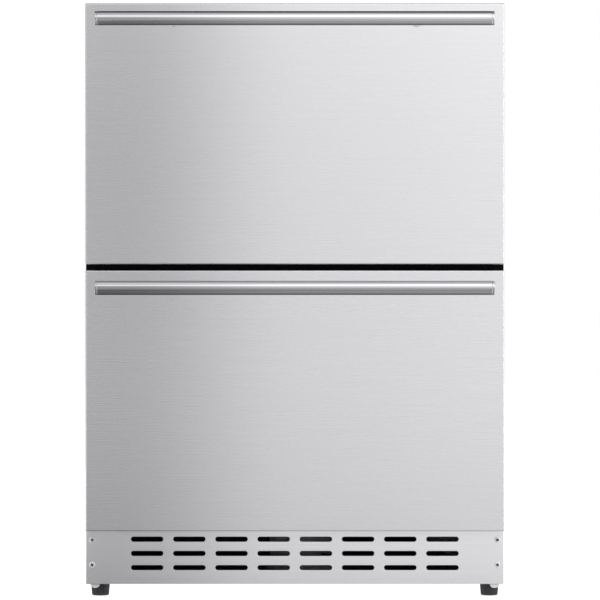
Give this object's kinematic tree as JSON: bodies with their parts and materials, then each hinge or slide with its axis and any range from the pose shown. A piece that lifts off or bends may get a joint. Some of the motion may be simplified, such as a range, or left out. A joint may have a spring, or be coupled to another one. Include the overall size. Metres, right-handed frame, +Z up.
{
  "type": "undercounter drawer refrigerator",
  "caption": "Undercounter refrigerator with two pull-out drawers on telescopic slides, full-width bar handles, a slotted kick plate and levelling feet.",
  "frame": {"origin": "on the floor under the middle of the object, seen from above", "axes": "+Z up, the drawers open towards -Y, +X is to the right seen from the front"},
  "size_m": [0.6, 0.653, 0.85],
  "materials": {
    "brushed_stainless": "brushed",
    "polished_stainless": "satin polished",
    "galvanised": "zinc plated",
    "black_paint": "satin",
    "white_plastic": "satin",
    "black_plastic": "matte",
    "black_rubber": "matte",
    "foam": "foamed",
    "aluminium": "mill",
    "copper": "drawn",
    "lamp_lens": "frosted"
  },
  "bodies": {
    "cabinet": {"outer_wrapper": "black_paint", "back_panel": "galvanised", "machine_deck": "galvanised", "base_pan": "galvanised", "machine_cover": "galvanised", "cabinet_insulation": "foam", "inner_liner": "white_plastic", "mullion": "black_paint", "bottom_rail": "black_paint", "kick_plate": "brushed_stainless", "leg_bracket_left": "galvanised", "leg_bracket_right": "galvanised", "power_inlet": "black_plastic", "control_housing": "white_plastic", "lamp": "lamp_lens", "compressor": "black_paint", "condenser": "aluminium", "fan_shroud": "black_plastic", "condenser_fan_motor": "galvanised", "drain_pan": "black_plastic", "discharge_line": "copper", "suction_line": "copper", "evaporator": "aluminium", "evaporator_cover": "white_plastic", "evaporator_fan_motor": "galvanised", "upper_slide_outer_left": "galvanised", "upper_slide_outer_right": "galvanised", "lower_slide_outer_left": "galvanised", "lower_slide_outer_right": "galvanised"},
    "upper_drawer": {"upper_front_panel": "brushed_stainless", "upper_front_insulation": "foam", "upper_inner_panel": "white_plastic", "upper_gasket": "black_rubber", "upper_bin": "white_plastic", "upper_handle": "polished_stainless", "upper_handle_cap_left": "polished_stainless", "upper_handle_cap_right": "polished_stainless", "upper_slide_inner_left": "galvanised", "upper_slide_inner_right": "galvanised"},
    "lower_drawer": {"lower_front_panel": "brushed_stainless", "lower_front_insulation": "foam", "lower_inner_panel": "white_plastic", "lower_gasket": "black_rubber", "lower_bin": "white_plastic", "lower_handle": "polished_stainless", "lower_handle_cap_left": "polished_stainless", "lower_handle_cap_right": "polished_stainless", "lower_slide_inner_left": "galvanised", "lower_slide_inner_right": "galvanised"},
    "upper_slides": {"upper_slide_middle_left": "galvanised", "upper_slide_middle_right": "galvanised"},
    "lower_slides": {"lower_slide_middle_left": "galvanised", "lower_slide_middle_right": "galvanised"},
    "condenser_fan": {"condenser_fan": "black_plastic"},
    "evaporator_fan": {"evaporator_fan": "black_plastic"},
    "foot_front_left": {"foot_front_left": "black_plastic"},
    "foot_front_right": {"foot_front_right": "black_plastic"},
    "foot_rear_left": {"foot_rear_left": "black_plastic"},
    "foot_rear_right": {"foot_rear_right": "black_plastic"}
  },
  "joints": [
    {"name": "upper_drawer_slide", "type": "slide", "parent": "cabinet", "child": "upper_drawer", "axis": [0, -1, 0], "range_m": [0, 0.4]},
    {"name": "lower_drawer_slide", "type": "slide", "parent": "cabinet", "child": "lower_drawer", "axis": [0, -1, 0], "range_m": [0, 0.24]},
    {"name": "upper_slides_travel", "type": "slide", "parent": "cabinet", "child": "upper_slides", "axis": [0, -1, 0], "range_m": [0, 0.2]},
    {"name": "lower_slides_travel", "type": "slide", "parent": "cabinet", "child": "lower_slides", "axis": [0, -1, 0], "range_m": [0, 0.12]},
    {"name": "condenser_fan_spin", "type": "hinge", "parent": "cabinet", "child": "condenser_fan", "pos_m": [-0.1475, 0.18, 0.145], "axis": [0, 1, 0], "continuous": true},
    {"name": "evaporator_fan_spin", "type": "hinge", "parent": "cabinet", "child": "evaporator_fan", "pos_m": [0, 0.228, 0.706], "axis": [0, 1, 0], "continuous": true},
    {"name": "foot_front_left_screw", "type": "slide", "parent": "cabinet", "child": "foot_front_left", "axis": [0, 0, -1], "range_m": [0, 0.025]},
    {"name": "foot_front_right_screw", "type": "slide", "parent": "cabinet", "child": "foot_front_right", "axis": [0, 0, -1], "range_m": [0, 0.025]},
    {"name": "foot_rear_left_screw", "type": "slide", "parent": "cabinet", "child": "foot_rear_left", "axis": [0, 0, -1], "range_m": [0, 0.025]},
    {"name": "foot_rear_right_screw", "type": "slide", "parent": "cabinet", "child": "foot_rear_right", "axis": [0, 0, -1], "range_m": [0, 0.025]}
  ],
  "couplings": [
    {"joint": "upper_slides_travel", "follows": "upper_drawer_slide", "ratio": 0.5},
    {"joint": "lower_slides_travel", "follows": "lower_drawer_slide", "ratio": 0.5}
  ]
}
